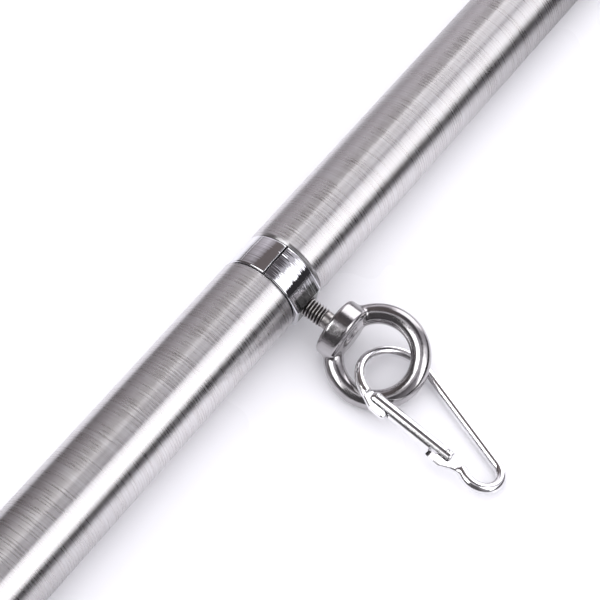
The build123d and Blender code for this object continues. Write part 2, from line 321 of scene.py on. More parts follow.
def arc_distance(x, y, centre_x, radius, start, end):
    """Distance in the plane to an arc round (centre_x, 0), from start to end degrees."""
    middle = math.radians((start + end) / 2)
    half = math.radians(abs(end - start) / 2)
    px = x - centre_x
    away = np.abs(np.arctan2(px * -math.sin(middle) + y * math.cos(middle),
                             px * math.cos(middle) + y * math.sin(middle)))
    on_arc = np.abs(np.hypot(px, y) - radius)
    ends = []
    for angle in (middle - half, middle + half):
        ends.append(np.hypot(px - radius * math.cos(angle), y - radius * math.sin(angle)))
    return np.where(away <= half, on_arc, np.minimum(*ends))


def segment_distance(x, y, a, b):
    """Distance in the plane to the straight line from a to b."""
    ex, ey = b[0] - a[0], b[1] - a[1]
    t = np.clip(((x - a[0]) * ex + (y - a[1]) * ey) / (ex * ex + ey * ey), 0, 1)
    return np.hypot(x - a[0] - t * ex, y - a[1] - t * ey)


def polar(centre_x, radius, angle):
    """Point at an angle in degrees on a circle round (centre_x, 0)."""
    turn = math.radians(angle)
    return (centre_x + radius * math.cos(turn), radius * math.sin(turn))


def boss_outline():
    """The boss's flat face and flanks, from its corners back to where they touch the round."""
    reach = math.hypot(BOSS_REACH, BOSS_HALF_WIDTH)
    corner = math.atan2(BOSS_HALF_WIDTH, BOSS_REACH)
    touch = corner + math.acos(COLLAR_RADIUS / reach)
    upper = (COLLAR_RADIUS * math.cos(touch), COLLAR_RADIUS * math.sin(touch))
    lower = (upper[0], -upper[1])
    return [(0, 0), lower, (BOSS_REACH, -BOSS_HALF_WIDTH), (BOSS_REACH, BOSS_HALF_WIDTH), upper]


BOSS_OUTLINE = boss_outline()
HINGE_TONGUE = hull_of_circles(TONGUE_CIRCLES)


def collar_field(side):
    """Half of the collar, on side +1 with the boss and the stud's hole. Local Z is the bar."""
    def field(p):
        x, y, z = p.T
        radius = np.hypot(x, y)
        outer = radius - COLLAR_RADIUS + COLLAR_CROWN * (2 * z / COLLAR_WIDTH) ** 2
        if side > 0:
            outer = np.minimum(outer, polygon_distance(x, y, BOSS_OUTLINE))
        body = rounded_pair(outer, np.abs(z) - COLLAR_WIDTH / 2, COLLAR_ROUND)
        lips = rounded_pair(radius - LIP_RADIUS, np.abs(z) - LIP_REACH, LIP_ROUND)
        shape = np.minimum(body, lips)
        shape = smooth_max(shape, COLLAR_BORE - radius, COLLAR_BORE_EDGE)
        shape = smooth_max(shape, COLLAR_SPLIT / 2 - side * x, COLLAR_SPLIT_EDGE)
        if side > 0:
            hole = STUD_HOLE - np.hypot(y, z)
            mouth = hole + STUD_HOLE_MOUTH + x - BOSS_REACH
            shape = smooth_max(shape, hole, STUD_HOLE_EDGE)
            shape = smooth_max(shape, mouth, STUD_HOLE_EDGE)
        return shape
    return field


def eye_field(p):
    """Shoulder, neck and ring of the eye bolt, blended as a forging is."""
    x, y, z = p.T
    middle = (SHOULDER_START + SHOULDER_END) / 2
    half = (SHOULDER_END - SHOULDER_START) / 2
    shoulder = rounded_pair(np.hypot(x, y) - SHOULDER_RADIUS, np.abs(z - middle) - half, SHOULDER_ROUND)
    rise = np.clip((z - SHOULDER_END + NECK_SINK) / (NECK_END - SHOULDER_END + NECK_SINK), 0, 1)
    wide = NECK_WIDE - NECK_WIDE_TAPER * rise
    deep = NECK_DEEP - NECK_DEEP_TAPER * rise
    neck = (np.hypot(x / wide, y / deep) - 1) * deep
    neck = rounded_pair(neck, np.maximum(z - NECK_END, SHOULDER_START + NECK_SINK - z), NECK_EDGE)
    ring = np.hypot(np.hypot(x, z - EYE_DISTANCE) - EYE_RADIUS, y) - EYE_SECTION
    return smooth_min(smooth_min(neck, ring, EYE_FILLET), shoulder, SHOULDER_FILLET)


def cut_square(wire, x, y, end, way):
    """The wire's field with one end cut square. The wire runs along way as it reaches end."""
    past = (x - end[0]) * way[0] + (y - end[1]) * way[1]
    near = np.hypot(x - end[0], y - end[1]) < WIRE_END_ZONE
    return np.where(near, smooth_max(wire, past, WIRE_END_ROUND), wire)


def wire_field(x, y, z):
    """Round wire bent round the wide end, along the spine and round the narrow end to the nose."""
    taper = math.degrees(math.asin((WIDE_RADIUS - NARROW_RADIUS) / HOOK_LENGTH))
    spine_angle = 90 - taper
    spine_start = polar(0, WIDE_RADIUS, spine_angle)
    spine_end = polar(HOOK_LENGTH, NARROW_RADIUS, spine_angle)
    hinge_end = polar(0, WIDE_RADIUS, HINGE_END_ANGLE)
    hinge_turn = math.radians(HINGE_END_ANGLE)
    hinge_way = (-math.sin(hinge_turn), math.cos(hinge_turn))
    nose_end = np.array(polar(HOOK_LENGTH, NARROW_RADIUS, -NOSE_ANGLE))
    nose_turn = math.radians(NOSE_ANGLE)
    nose_way = np.array((-math.sin(nose_turn), -math.cos(nose_turn)))
    nose_tip = nose_end + nose_way * NOSE_STRAIGHT
    centre_line = np.minimum.reduce([
        arc_distance(x, y, 0, WIDE_RADIUS, spine_angle, HINGE_END_ANGLE),
        segment_distance(x, y, spine_start, spine_end),
        arc_distance(x, y, HOOK_LENGTH, NARROW_RADIUS, -NOSE_ANGLE, spine_angle),
        segment_distance(x, y, nose_end, nose_tip)])
    wire = np.hypot(centre_line, z) - WIRE_RADIUS
    wire = cut_square(wire, x, y, hinge_end, hinge_way)
    return cut_square(wire, x, y, nose_tip, nose_way)


def hook_field(p):
    """Bent wire with its flat tongue and flat notched head, in the gate's frame."""
    x, y, z = p.T
    wire = wire_field(*gate_to_hook(p).T)
    thick = np.abs(z) - PLATE_HALF
    tongue = rounded_pair(polygon_distance(x, y, HINGE_TONGUE), thick, PLATE_ROUND)
    head = rounded_pair(polygon_distance(x, y, NOSE_HEAD), thick, PLATE_ROUND)
    bevel = z - PLATE_HALF + HEAD_BEVEL_SLOPE * (HEAD_BEVEL_START - x)
    head = smooth_max(head, bevel / math.hypot(1, HEAD_BEVEL_SLOPE), HEAD_BEVEL_EDGE)
    shape = smooth_min(wire, np.minimum(tongue, head), PLATE_FILLET)
    return smooth_max(shape, RIVET_RADIUS + PIN_CLEARANCE - np.hypot(x, y), PIN_HOLE_EDGE)


def gate_field(p):
    """Round gate with its rounded hinge end, its two slots and the spring's bore."""
    x, y, z = p.T
    reach = np.hypot(y, z)
    knuckle = np.sqrt(x * x + y * y + z * z) - GATE_RADIUS
    barrel = rounded_pair(reach - GATE_RADIUS, x - GATE_LENGTH, GATE_NOSE_ROUND)
    shape = np.where(x < 0, knuckle, barrel)
    hinge_slot = np.maximum(np.abs(z) - SLOT_HALF, x - HINGE_SLOT_END)
    nose_slot = np.maximum(np.abs(z) - SLOT_HALF, NOSE_SLOT_START - x)
    bore_ends = np.maximum(x - BORE_END, HINGE_SLOT_END - BORE_OVERLAP - x)
    bore = np.maximum(reach - BORE_RADIUS, bore_ends)
    for cut in (hinge_slot, nose_slot, bore):
        shape = smooth_max(shape, -cut, GATE_CUT_EDGE)
    return shape


# ------------------------------------------------------------------ meshes
def add_object(name, vertices, faces, normals=None):
    """Smooth mesh object in the scene, in metres, with its own normals if they are given."""
    mesh = bpy.data.meshes.new(name)
    mesh.from_pydata([tuple(v) for v in vertices], [], faces)
    mesh.validate()
    mesh.update()
    mesh.polygons.foreach_set("use_smooth", [True] * len(mesh.polygons))
    if normals is not None:
        mesh.normals_split_custom_set_from_vertices([tuple(n) for n in normals])
    piece = bpy.data.objects.new(name, mesh)
    bpy.context.scene.collection.objects.link(piece)
    return piece


def set_measure(piece, name, values):
    """Store one number for each vertex, for a material to read."""
    piece.data.attributes.new(name, "FLOAT", "POINT").data.foreach_set("value", np.ravel(values))


def band_faces(bands, around):
    """Squares between neighbouring rings of points, each ring with around points."""
    faces = []
    for i in range(bands):
        low, high = i * around, (i + 1) * around
        for j in range(around):
            k = (j + 1) % around
            faces.append((low + j, low + k, high + k, high + j))
    return faces


def surface_of_turning(name, place, profile, segments, edge_angle=32):
    """Turned piece: profile is (radius, distance along local Z) in mm, from end to end."""
    profile = np.array(profile, float)
    turns = np.linspace(0, 2 * math.pi, segments, endpoint=False)
    rings = np.stack([
        profile[:, None, 0] * np.cos(turns), profile[:, None, 0] * np.sin(turns),
        np.repeat(profile[:, 1:], segments, 1)], -1)
    faces = band_faces(len(profile) - 1, segments)
    if profile[0, 0] > 0 and np.allclose(profile[0], profile[-1]):
        rings = rings[:-1]
        last = (len(profile) - 1) * segments
        faces = [tuple(v % last for v in face) for face in faces]
    piece = add_object(name, place.out(rings.reshape(-1, 3)), faces)
    merge_and_face_out(piece)
    bpy.context.view_layer.objects.active = piece
    piece.select_set(True)
    bpy.ops.object.shade_smooth_by_angle(angle=math.radians(edge_angle))
    piece.select_set(False)
    return piece


def merge_and_face_out(piece):
    """Join points that coincide, and turn every face outwards."""
    work = bmesh.new()
    work.from_mesh(piece.data)
    bmesh.ops.remove_doubles(work, verts=work.verts, dist=1e-7)
    bmesh.ops.recalc_face_normals(work, faces=work.faces)
    work.to_mesh(piece.data)
    work.free()


def evaluated_arrays(piece):
    """Points, faces and edges of a piece with its modifiers applied."""
    graph = bpy.context.evaluated_depsgraph_get()
    mesh = piece.evaluated_get(graph).to_mesh()
    vertices = np.empty(len(mesh.vertices) * 3)
    mesh.vertices.foreach_get("co", vertices)
    faces = [tuple(p.vertices) for p in mesh.polygons]
    edges = np.empty(len(mesh.edges) * 2, int)
    mesh.edges.foreach_get("vertices", edges)
    piece.evaluated_get(graph).to_mesh_clear()
    return vertices.reshape(-1, 3), faces, edges.reshape(-1, 2)


def gradient(field, points, step=0.01):
    """Unit vectors along which the field rises fastest."""
    slopes = []
    for axis in range(3):
        shift = np.zeros(3)
        shift[axis] = step
        slopes.append(field(points + shift) - field(points - shift))
    slopes = np.stack(slopes, 1)
    return slopes / np.maximum(np.linalg.norm(slopes, axis=1), 1e-12)[:, None]


def onto_surface(field, points, rounds, largest=0.3):
    """Points moved to where the field is zero, at most largest in each round."""
    for _ in range(rounds):
        move = np.clip(field(points), -largest, largest)
        points = points - gradient(field, points) * move[:, None]
    return points


FIELD_MESHES = {}


def field_piece(name, kind, place, field, seed_mesh, voxel):
    """Even mesh of a field's surface, made by remeshing a seed and moving its points there.

    The stations are alike, so each kind of piece is made once, in its local frame.
    """
    if kind not in FIELD_MESHES:
        FIELD_MESHES[kind] = even_mesh(place, field, seed_mesh, voxel)
    points, faces, normals = FIELD_MESHES[kind]
    return add_object(name, place.out(points), faces, place.turn(normals))


def even_mesh(place, field, seed_mesh, voxel):
    """Points, faces and normals of a field's surface, evened out by averaging with neighbours."""
    seed = bpy.data.objects.new("seed", seed_mesh)
    bpy.context.scene.collection.objects.link(seed)
    remesh = seed.modifiers.new("even", "REMESH")
    remesh.mode = "VOXEL"
    remesh.voxel_size = voxel * MM
    vertices, faces, edges = evaluated_arrays(seed)
    bpy.data.objects.remove(seed)
    points = onto_surface(field, place.into(vertices), 4)
    count = np.bincount(edges.ravel(), minlength=len(points))[:, None]
    for _ in range(EVEN_ROUNDS):
        total = np.zeros_like(points)
        np.add.at(total, edges[:, 0], points[edges[:, 1]])
        np.add.at(total, edges[:, 1], points[edges[:, 0]])
        points = points * 0.5 + total / np.maximum(count, 1) * 0.5
        points = onto_surface(field, points, 2)
    points = onto_surface(field, points, 2)
    return points, faces, gradient(field, points, NORMAL_STEP)


# ------------------------------------------------------------------ materials
class Nodes:
    """Short hand for building the nodes of a new material or world, which is the owner.

    Noise scales are per metre, and bump distances are in metres.
    """

    def __init__(self, owner, output_node):
        owner.use_nodes = True
        self.owner = owner
        self.tree = owner.node_tree
        self.shader = self.tree.nodes[output_node]

    def add(self, kind, **values):
        node = self.tree.nodes.new(kind)
        for key, value in values.items():
            setattr(node, key, value)
        return node

    def link(self, start, end):
        self.tree.links.new(start, end)

    def feed(self, start, name):
        """Link an output to one of the shader's inputs."""
        self.link(start, self.shader.inputs[name])

    def set(self, **values):
        for key, value in values.items():
            self.shader.inputs[key.replace("_", " ")].default_value = value

    def noise(self, vector, scale, detail, rough, distort=0.0):
        """Noise with a scale for each of X, Y and Z."""
        mapping = self.add("ShaderNodeMapping")
        mapping.inputs["Scale"].default_value = scale
        self.link(vector, mapping.inputs["Vector"])
        noise = self.add("ShaderNodeTexNoise")
        noise.inputs["Scale"].default_value = 1.0
        noise.inputs["Detail"].default_value = detail
        noise.inputs["Roughness"].default_value = rough
        noise.inputs["Distortion"].default_value = distort
        self.link(mapping.outputs["Vector"], noise.inputs["Vector"])
        return noise.outputs["Fac"]

    def spread(self, value, low, high, out_low, out_high):
        """The value, held between low and high, and stretched to run from out_low to out_high."""
        node = self.add("ShaderNodeMapRange")
        ranges = {"From Min": low, "From Max": high, "To Min": out_low, "To Max": out_high}
        for name, number in ranges.items():
            node.inputs[name].default_value = number
        self.link(value, node.inputs["Value"])
        return node.outputs["Result"]

    def math(self, operation, a, b):
        """Result of an operation on two values, each a number or an output."""
        node = self.add("ShaderNodeMath", operation=operation)
        for socket, value in zip(node.inputs, (a, b)):
            if isinstance(value, (int, float)):
                socket.default_value = value
            else:
                self.link(value, socket)
        return node.outputs["Value"]

    def ramp(self, value, stops):
        """Colour that goes with a value, by stops of (value, colour)."""
        node = self.add("ShaderNodeValToRGB")
        ramp = node.color_ramp
        ramp.elements[0].position, ramp.elements[0].color = stops[0][0], (*stops[0][1], 1)
        ramp.elements[1].position, ramp.elements[1].color = stops[-1][0], (*stops[-1][1], 1)
        for position, colour in stops[1:-1]:
            ramp.elements.new(position).color = (*colour, 1)
        self.link(value, node.inputs["Fac"])
        return node.outputs["Color"]

    def mix(self, factor, a, b):
        """Colour a where the factor is 0 and b where it is 1, each a colour or an output."""
        node = self.add("ShaderNodeMixRGB")
        self.link(factor, node.inputs["Fac"])
        for name, colour in (("Color1", a), ("Color2", b)):
            if isinstance(colour, tuple):
                node.inputs[name].default_value = colour
            else:
                self.link(colour, node.inputs[name])
        return node.outputs["Color"]

    def bump(self, height, distance, strength=1.0, under=None):
        """Normal of a bumpy surface, on top of the bumps under it if there are any."""
        node = self.add("ShaderNodeBump")
        node.inputs["Strength"].default_value = strength
        node.inputs["Distance"].default_value = distance
        self.link(height, node.inputs["Height"])
        if under is not None:
            self.link(under, node.inputs["Normal"])
        return node.outputs["Normal"]

    def position(self):
        """Position in metres, in the frame that every piece shares."""
        return self.add("ShaderNodeTexCoord").outputs["Object"]

    def measure(self, name):
        """What set_measure stored under this name."""
        return self.add("ShaderNodeAttribute", attribute_name=name).outputs["Fac"]


def material_nodes(name):
    return Nodes(bpy.data.materials.new(name), "Principled BSDF")


def brushed_tube_material():
    """Stainless tube brushed round its girth: hairs, streaks, evenly spaced lines and scratches.

    Every pattern is fine along the bar, which is X, and long round the girth.
    """
    n = material_nodes("brushed_tube")
    at = n.position()
    hair = n.noise(at, (6000, 90, 90), 2.0, 0.6)
    streak = n.noise(at, (1700, 70, 70), 2.0, 0.6)
    band = n.noise(at, (260, 18, 18), 3.0, 0.55)
    cloud = n.noise(at, (30, 45, 45), 3.0, 0.5, 0.4)
    scratch = n.noise(at, (2600, 150, 150), 1.0, 0.5)
    line = n.add("ShaderNodeTexWave", wave_type="BANDS", bands_direction="X")
    for name, value in {"Scale": 330.0, "Distortion": 2.5, "Detail": 2.0, "Detail Scale": 0.5}.items():
        line.inputs[name].default_value = value
    n.link(at, line.inputs["Vector"])
    lines = n.spread(line.outputs["Fac"], 0, 1, 0.41, 0.59)
    fine = n.math("MULTIPLY", n.math("ADD", streak, lines), 0.4)
    mixed = n.math("ADD", fine, n.math("MULTIPLY", band, 0.2))
    colour = n.ramp(mixed, [
        (0.4, (0.55, 0.53, 0.53)), (0.5, (0.63, 0.612, 0.617)), (0.6, (0.70, 0.69, 0.70))])
    n.feed(colour, "Base Color")
    rough = n.math("ADD", n.spread(mixed, 0.4, 0.6, 0.25, 0.33), n.spread(cloud, 0.3, 0.7, -0.01, 0.01))
    n.feed(rough, "Roughness")
    height = n.math("ADD", n.math("MULTIPLY", hair, 0.15), n.math("MULTIPLY", streak, 0.85))
    normal = n.bump(height, 0.000009)
    normal = n.bump(n.spread(scratch, 0.72, 0.8, 1, 0), 0.000006, 0.25, normal)
    n.feed(normal, "Normal")
    tangent = n.add("ShaderNodeTangent", direction_type="RADIAL", axis="X")
    n.feed(tangent.outputs["Tangent"], "Tangent")
    n.set(Metallic=1.0, Anisotropic=0.97, Anisotropic_Rotation=0.25)
    return n.owner


def chrome_material():
    """Bright chrome plate: a near mirror, rippled along the bar by the turned metal under it.

    The ripple is strongest in front, at negative Y, and the boss's colour is darkened as painted shade.
    """
    n = material_nodes("collar_chrome")
    at = n.position()
    haze = n.noise(at, (220, 220, 220), 4.0, 0.6)
    ripple = n.noise(at, (1400, 45, 45), 1.0, 0.5)
    wave = n.noise(at, (300, 90, 90), 2.0, 0.5)
    n.feed(n.spread(haze, 0.3, 0.7, 0.04, 0.09), "Roughness")
    parts = n.add("ShaderNodeSeparateXYZ")
    n.link(at, parts.inputs["Vector"])
    ripple = n.math("MULTIPLY", ripple, n.spread(parts.outputs["Y"], -0.003, 0.001, 1, 0.3))
    n.feed(n.bump(ripple, 0.0001, 1.0, n.bump(wave, 0.00003, 0.7)), "Normal")
    plate = n.ramp(haze, [(0.3, (0.72, 0.72, 0.745)), (0.7, (0.78, 0.78, 0.80))])
    # Painted shade: the boss's colour is darkened where make_collar marks it
    n.feed(n.mix(n.measure("painted_shade"), plate, (0.17, 0.175, 0.17, 1)), "Base Color")
    n.set(Metallic=1.0)
    return n.owner


def eye_material():
    """Polished forged stainless: softer reflections, faint lumps and fine polishing scratches."""
    n = material_nodes("eye_polished_steel")
    at = n.position()
    lump = n.noise(at, (210, 210, 210), 3.0, 0.5)
    grain = n.noise(at, (2600, 2600, 2600), 4.0, 0.65)
    swirl = n.noise(at, (3600, 500, 900), 3.0, 0.6, 0.6)
    n.feed(n.ramp(lump, [(0.3, (0.40, 0.385, 0.39)), (0.7, (0.48, 0.465, 0.475))]), "Base Color")
    n.feed(n.spread(grain, 0.3, 0.7, 0.12, 0.19), "Roughness")
    normal = n.bump(lump, 0.00018, 0.5)
    normal = n.bump(swirl, 0.0000035, 0.8, normal)
    n.feed(n.bump(grain, 0.000003, 0.8, normal), "Normal")
    n.set(Metallic=1.0)
    return n.owner


def nickel_material():
    """Bright nickel plate on bent wire, a little wavy where it was drawn and bent."""
    n = material_nodes("hook_nickel")
    at = n.position()
    wave = n.noise(at, (520, 520, 520), 2.0, 0.5)
    grain = n.noise(at, (3300, 3300, 3300), 3.0, 0.6)
    plate = n.ramp(wave, [(0.3, (0.83, 0.825, 0.835)), (0.7, (0.91, 0.905, 0.915))])
    # Painted shade: the bevel on the head is coloured near black where make_hook_body marks it
    n.feed(n.mix(n.measure("painted_shade"), plate, (0.03, 0.028, 0.03, 1)), "Base Color")
    n.feed(n.spread(grain, 0.3, 0.7, 0.10, 0.17), "Roughness")
    n.feed(n.bump(grain, 0.0000015, 0.8, n.bump(wave, 0.00002, 0.5)), "Normal")
    n.set(Metallic=1.0)
    return n.owner


def turned_material(name, dark, light):
    """Plain machined steel with fine turning marks, for the pieces inside."""
    n = material_nodes(name)
    at = n.position()
    marks = n.noise(at, (4200, 160, 160), 3.0, 0.6)
    cloud = n.noise(at, (300, 300, 300), 3.0, 0.6)
    n.feed(n.ramp(cloud, [(0.3, dark), (0.7, light)]), "Base Color")
    n.feed(n.spread(marks, 0.3, 0.7, 0.24, 0.42), "Roughness")
    n.feed(n.bump(marks, 0.000006), "Normal")
    n.set(Metallic=1.0)
    return n.owner


def stud_material():
    """Steel of the eye bolt's thread: bright on the crests, with painted shade dark down in the roots.
    """
    n = material_nodes("stud_steel")
    cloud = n.noise(n.position(), (900, 900, 900), 3.0, 0.6)
    height = n.measure("height_of_thread")
    uneven = n.math("ADD", height, n.spread(cloud, 0.3, 0.7, -0.15, 0.15))
    # Painted shade: darker towards the thread's roots, lighter towards its crests
    colour = n.ramp(uneven, [
        (0.2, (0.045, 0.04, 0.04)), (0.55, (0.27, 0.255, 0.25)), (0.9, (0.66, 0.64, 0.63))])
    n.feed(colour, "Base Color")
    n.feed(n.spread(uneven, 0.2, 0.9, 0.5, 0.22), "Roughness")
    n.set(Metallic=1.0)
    return n.owner


def floor_material():
    """Pale studio table with a faint gloss.

    Where the metal mirrors it, its colour is darkened as painted shade: dark away from the middle,
    out of the lamps' reach, but for the part behind the bar to the right, which the lit wall reaches.
    """
    n = material_nodes("studio_table")
    at = n.position()
    cloud = n.noise(at, (9, 9, 9), 3.0, 0.5)
    pale = n.ramp(cloud, [(0.3, (0.86, 0.85, 0.875)), (0.7, (0.90, 0.89, 0.91))])
    distance = n.add("ShaderNodeVectorMath", operation="LENGTH")
    n.link(at, distance.inputs[0])
    parts = n.add("ShaderNodeSeparateXYZ")
    n.link(at, parts.inputs["Vector"])
    behind = n.spread(parts.outputs["Y"], 0, 0.1, 0, 1)
    rightward = n.math("SUBTRACT", parts.outputs["X"], n.math("MULTIPLY", parts.outputs["Y"], 0.3))
    lit = n.math("MULTIPLY", behind, n.spread(rightward, 0.0, 0.2, 0, 1))
    far = n.spread(distance.outputs["Value"], 0.07, 0.22, 0, 1)
    unlit = n.math("MULTIPLY", far, n.math("SUBTRACT", 1.0, lit))
    mirrored = n.add("ShaderNodeLightPath").outputs["Is Glossy Ray"]
    # Painted shade: in mirrored rays, the table's colour goes dark away from the middle
    n.feed(n.mix(n.math("MULTIPLY", unlit, mirrored), pale, (0.06, 0.055, 0.06, 1)), "Base Color")
    n.feed(n.spread(cloud, 0.3, 0.7, 0.22, 0.30), "Roughness")
    n.set(Specular_IOR_Level=0.35)
    return n.owner


def wear(piece, material):
    """Give a piece this material and no other."""
    piece.data.materials.clear()
    piece.data.materials.append(material)


def finish_piece(piece, material, body, slot, *replaced):
    """Give a piece its material and body, and hide the CAD nodes that it stands for. The slot is not
    used.
    """
    wear(piece, material)
    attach(piece, body)
    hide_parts(*replaced)


# ------------------------------------------------------------------ the bar
BAR_PLACE = Place((0, 0, 0), (0, 1, 0), (1, 0, 0))


def chamfered_mouth(face, inward):
    """Chamfer between an end face and the outside, as profile points (radius, distance)."""
    return [(BAR_RADIUS - MOUTH_CHAMFER, face), (BAR_RADIUS, face + inward * MOUTH_CHAMFER)]


def rounded_nose(face, inward, size, steps=9):
    """Quarter round between an end face and the outside, as profile points."""
    points = []
    for turn in np.linspace(0, math.pi / 2, steps + 1):
        radius = BAR_RADIUS - size * (1 - math.sin(turn))
        points.append((radius, face + inward * size * (1 - math.cos(turn))))
    return points


def make_tube(side, material):
    low, high = (corner.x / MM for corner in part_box(f"{side}_tube"))
    bore = BAR_RADIUS - TUBE_WALL
    start = chamfered_mouth(low, 1)
    end = chamfered_mouth(high, -1)[::-1]
    steps = [(BAR_RADIUS, low + (high - low) * i / TUBE_STEPS) for i in range(1, TUBE_STEPS)]
    profile = [(bore, low), *start, *steps, *end, (bore, high), (bore, low)]
    piece = surface_of_turning(f"{side}_tube_brushed", BAR_PLACE, profile, BAR_SIDES)
    finish_piece(piece, material, "bar", "tube_steel", f"{side}_tube")


def make_end_cap(side, facing, material):
    low, high = (corner.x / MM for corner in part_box(f"{side}_end_cap"))
    face, outer = (low, high) if facing > 0 else (high, low)
    bore = BAR_RADIUS - TUBE_WALL
    rim = chamfered_mouth(face, facing)
    nose = rounded_nose(outer, -facing, CAP_ROUND)[::-1]
    depth = face + facing * MOUTH_DEPTH
    profile = [(0, depth), (bore, depth), (bore, face), *rim, *nose, (0, outer)]
    piece = surface_of_turning(f"{side}_end_cap_brushed", BAR_PLACE, profile, BAR_SIDES)
    finish_piece(piece, material, "bar", "tube_steel", f"{side}_end_cap")


# ------------------------------------------------------------------ one station
def make_collar(station, material):
    place = collar_place(station)
    for half, side in (("front", 1), ("back", -1)):
        node = f"{station}_collar_{half}"
        seed = frame["nodes"][node].data.copy()
        piece = field_piece(f"{node}_plated", half, place, collar_field(side), seed, COLLAR_VOXEL)
        x, y, z = FIELD_MESHES[half][0].T
        # Mark for the boss's painted shade, kept off the rims at each side
        on_boss = np.clip((np.hypot(x, y) - COLLAR_RADIUS - BOSS_SHADE_RISE) / BOSS_SHADE_RISE_FADE, 0, 1)
        between_rims = np.clip((BOSS_SHADE_HALF_WIDTH - np.abs(z)) / BOSS_SHADE_WIDTH_FADE, 0, 1)
        set_measure(piece, "painted_shade", on_boss * between_rims)
        finish_piece(piece, material, f"{station}_collar", "collar_chrome", node)


def thread_piece(name, place):
    """Stud with a true helical thread, and the plain shank up into the shoulder."""
    rows = int((SHOULDER_START + NECK_SINK - STUD_TIP) * STEPS_PER_MM)
    turns = np.arange(STUD_SIDES) / STUD_SIDES
    heights = STUD_TIP + np.arange(rows + 1) / STEPS_PER_MM
    phase = (heights[:, None] / STUD_PITCH - turns) % 1
    crest = np.clip(CREST_FLAT - CREST_SLOPE * np.abs(phase - 0.5), 0, 1)
    crest = crest * crest * (3 - 2 * crest)
    fade_out = np.clip((THREAD_END - heights) / THREAD_RUN_OUT, 0, 1)[:, None]
    fade_in = np.clip((heights - STUD_TIP) / THREAD_RUN_IN, TIP_CREST, 1)[:, None]
    threaded = STUD_ROOT + (STUD_RADIUS - STUD_ROOT) * crest * fade_in
    radius = threaded * fade_out + SHANK_RADIUS * (1 - fade_out)
    angle = turns * 2 * math.pi
    z = np.repeat(heights[:, None], STUD_SIDES, 1)
    grid = np.stack([radius * np.cos(angle), radius * np.sin(angle), z], -1).reshape(-1, 3)
    tip_face = tuple(range(STUD_SIDES))[::-1]
    top_face = tuple(range(rows * STUD_SIDES, (rows + 1) * STUD_SIDES))
    stud = add_object(name, place.out(grid), [tip_face, *band_faces(rows, STUD_SIDES), top_face])
    height = np.clip((radius - STUD_ROOT) / (STUD_RADIUS - STUD_ROOT), 0, 1)
    set_measure(stud, "height_of_thread", height * fade_out + SHANK_HEIGHT * (1 - fade_out))
    return stud


def eye_seed(place):
    """Plain shoulder, neck and torus that the eye's even mesh starts from."""
    work = bmesh.new()
    middle = (SHOULDER_START + SHOULDER_END) / 2
    for radius, low, high in (
            (SHOULDER_RADIUS, SHOULDER_START, SHOULDER_END), (NECK_SEED_RADIUS, middle, NECK_END)):
        at = Matrix.Translation((0, 0, (low + high) / 2))
        bmesh.ops.create_cone(work, cap_ends=True, segments=SHOULDER_SEED_SIDES, radius1=radius,
                              radius2=radius, depth=high - low, matrix=at)
    rings, sides = EYE_SEED_RINGS, EYE_SEED_SIDES
    made = []
    for i in range(rings):
        a = 2 * math.pi * i / rings
        for j in range(sides):
            b = 2 * math.pi * j / sides
            reach = EYE_RADIUS + EYE_SECTION * math.cos(b)
            made.append(work.verts.new((reach * math.sin(a), EYE_SECTION * math.sin(b),
                                        EYE_DISTANCE + reach * math.cos(a))))
    for i in range(rings):
        near, far = i * sides, (i + 1) % rings * sides
        for j in range(sides):
            k = (j + 1) % sides
            work.faces.new((made[near + j], made[far + j], made[far + k], made[near + k]))
    bmesh.ops.recalc_face_normals(work, faces=work.faces)
    mesh = bpy.data.meshes.new("eye_seed")
    work.to_mesh(mesh)
    work.free()
    local = np.array([v.co for v in mesh.vertices])
    mesh.vertices.foreach_set("co", place.out(local).ravel())
    mesh.update()
    return mesh


def make_eye_bolt(station, material, threaded):
    place = eye_place(station)
    ring = field_piece(f"{station}_eye_forging", "eye", place, eye_field, eye_seed(place), EYE_VOXEL)
    stud = thread_piece(f"{station}_eye_stud", place)
    finish_piece(ring, material, f"{station}_eye", "eye_steel", f"{station}_eye_bolt")
    finish_piece(stud, threaded, f"{station}_eye", "eye_steel", f"{station}_eye_bolt")


def make_hook_body(station, place, nickel):
    seed = frame["nodes"][f"{station}_hook_body"].data.copy()
    body = field_piece(f"{station}_hook_wire", "hook", place, hook_field, seed, HOOK_VOXEL)
    x, y, _ = FIELD_MESHES["hook"][0].T
    # Mark for the painted shade on the head's bevel
    near_x = np.abs(x - BEVEL_MIDDLE[0]) < BEVEL_HALF[0]
    near_y = np.abs(y - BEVEL_MIDDLE[1]) < BEVEL_HALF[1]
    in_bevel_shade = np.clip((BEVEL_SHADE_END - x) / BEVEL_SHADE_FADE, 0, 1)
    set_measure(body, "painted_shade", (near_x & near_y) * in_bevel_shade)
    finish_piece(body, nickel, f"{station}_hook", "hook_nickel", f"{station}_hook_body")


def make_pin(station, node, place, at, radius, reach, material):
    """Cross pin of the gate, at a distance from the hinge, with a low dome at each end."""
    pin_place = Place(place.out([(at, 0, 0)])[0], place.axes[0], place.axes[2])
    dome = []
    for turn in np.linspace(0, math.pi / 2, PIN_DOME_POINTS):
        dome.append((radius * math.cos(turn), reach - PIN_DOME + PIN_DOME * math.sin(turn)))
    profile = [(max(r, 0), -z) for r, z in dome[::-1]] + dome
    pin = surface_of_turning(f"{station}_{node}_domed", pin_place, profile, PIN_SIDES, PIN_EDGE_ANGLE)
    finish_piece(pin, material, f"{station}_gate", "hook_nickel", f"{station}_{node}")


